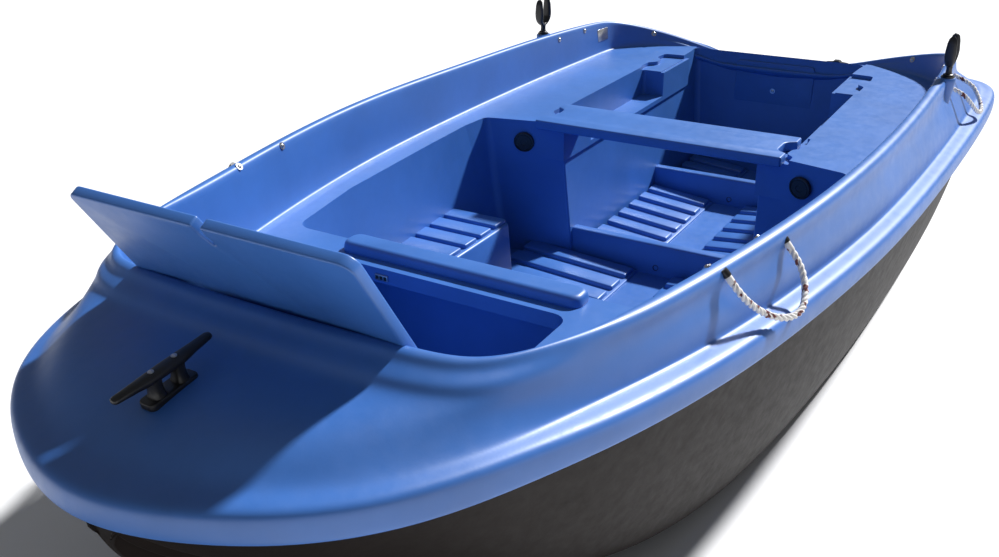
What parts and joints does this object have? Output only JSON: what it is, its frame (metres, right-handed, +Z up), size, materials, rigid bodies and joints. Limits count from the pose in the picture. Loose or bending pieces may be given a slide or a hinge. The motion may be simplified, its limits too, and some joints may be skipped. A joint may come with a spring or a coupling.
{
  "type": "rowing boat",
  "caption": "Small open rowing and fishing boat, double-skin blue plastic, with side benches, a thwart, a bow locker with hinged lid, oarlocks, a cleat and rope handles.",
  "frame": {"origin": "centre of the overall box, on the ground under the boat's bottom", "axes": "+X to the bow, +Y to port, +Z up"},
  "size_m": [3, 1.4, 0.8131],
  "materials": {
    "hull_dark": "satin",
    "deck_blue": "satin",
    "black_plastic": "satin",
    "rope_white": "matte",
    "steel": "satin"
  },
  "bodies": {
    "boat": {"bench_port": "deck_blue", "bench_starboard": "deck_blue", "bulkhead_ridge": "deck_blue", "cockpit_liner": "deck_blue", "cross_frame_aft": "deck_blue", "cross_frame_fore": "deck_blue", "drain_plug": "black_plastic", "floor_ribs_aft": "deck_blue", "floor_ribs_fore": "deck_blue", "foredeck": "deck_blue", "foredeck_cleat": "black_plastic", "handle_bolts_aft_port": "steel", "handle_bolts_aft_starboard": "steel", "handle_bolts_fore_port": "steel", "handle_bolts_fore_starboard": "steel", "hatch_cover_port": "black_plastic", "hatch_cover_starboard": "black_plastic", "hull_bottom": "hull_dark", "lid_hinge_ears": "steel", "lid_hinge_pins": "steel", "locker_liner": "deck_blue", "motor_pad_inner": "deck_blue", "motor_pad_outer": "deck_blue", "oarlock_socket_port": "black_plastic", "oarlock_socket_starboard": "black_plastic", "rope_handle_aft_port": "rope_white", "rope_handle_aft_starboard": "rope_white", "rope_handle_fore_port": "rope_white", "rope_handle_fore_starboard": "rope_white", "side_deck_port": "deck_blue", "side_deck_starboard": "deck_blue", "side_steps": "deck_blue", "stern_bolt_port": "steel", "stern_bolt_starboard": "steel", "strike_plate": "steel", "transom": "deck_blue", "transom_line_clip": "black_plastic"},
    "lid": {"locker_lid": "deck_blue"},
    "seat": {"thwart": "deck_blue"},
    "oarlock_fork_port": {"oarlock_port": "black_plastic"},
    "oarlock_fork_starboard": {"oarlock_starboard": "black_plastic"}
  },
  "joints": [
    {"name": "lid_hinge", "type": "hinge", "parent": "boat", "child": "lid", "pos_m": [1.0425, 0, 0.4955], "axis": [0, 1, 0], "range_deg": [-121.75, 0]},
    {"name": "thwart_lift", "type": "slide", "parent": "boat", "child": "seat", "axis": [0, 0, 1], "range_m": [0, 0.12]},
    {"name": "oarlock_turn_port", "type": "hinge", "parent": "boat", "child": "oarlock_fork_port", "pos_m": [-0.798, 0.60804, 0.61135], "axis": [0, 0, 1], "continuous": true},
    {"name": "oarlock_turn_starboard", "type": "hinge", "parent": "boat", "child": "oarlock_fork_starboard", "pos_m": [-0.798, -0.60804, 0.61135], "axis": [0, 0, 1], "continuous": true}
  ]
}
